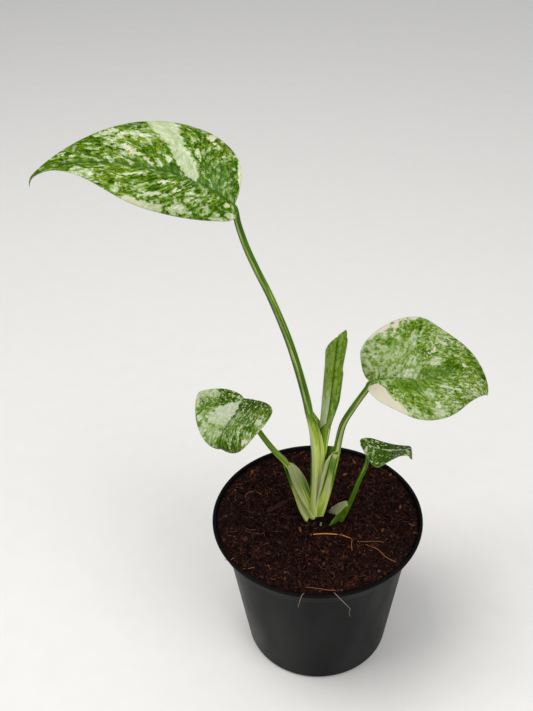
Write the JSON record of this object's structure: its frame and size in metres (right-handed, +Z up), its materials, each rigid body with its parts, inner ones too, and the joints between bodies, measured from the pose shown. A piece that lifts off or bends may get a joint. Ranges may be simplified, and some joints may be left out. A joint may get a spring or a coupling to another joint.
{
  "type": "potted green snow monstera",
  "caption": "Young aroid house plant with streaked green and white leaves on arching stalks, one of them still rolled, in a round black nursery pot of coir soil.",
  "frame": {"origin": "middle of the pot's flat underside, on the pot's axis", "axes": "+Z up along the pot's axis; the leaves spread along X, the tall leaf towards -X; the picture's side faces -Y"},
  "size_m": [0.2232, 0.12, 0.323],
  "materials": {
    "pot_plastic": "satin black injection-moulded plastic",
    "soil": "damp shredded coir and bark",
    "root": "matt root skin",
    "stalk": "smooth waxy stalk with pale streaks",
    "leaf": "waxy leaf, streaked and marbled with mint white",
    "new_leaf": "soft pale new leaf"
  },
  "bodies": {
    "root": {"pot": "pot_plastic", "soil": "soil", "rootstock": "root", "stalk_rolled": "stalk", "stalk_tall": "stalk", "stalk_right": "stalk", "stalk_left": "stalk", "stalk_low": "stalk", "blade_tall": "leaf", "blade_right": "leaf", "blade_left": "leaf", "blade_low": "leaf", "blade_rolled": "new_leaf"}
  },
  "joints": []
}
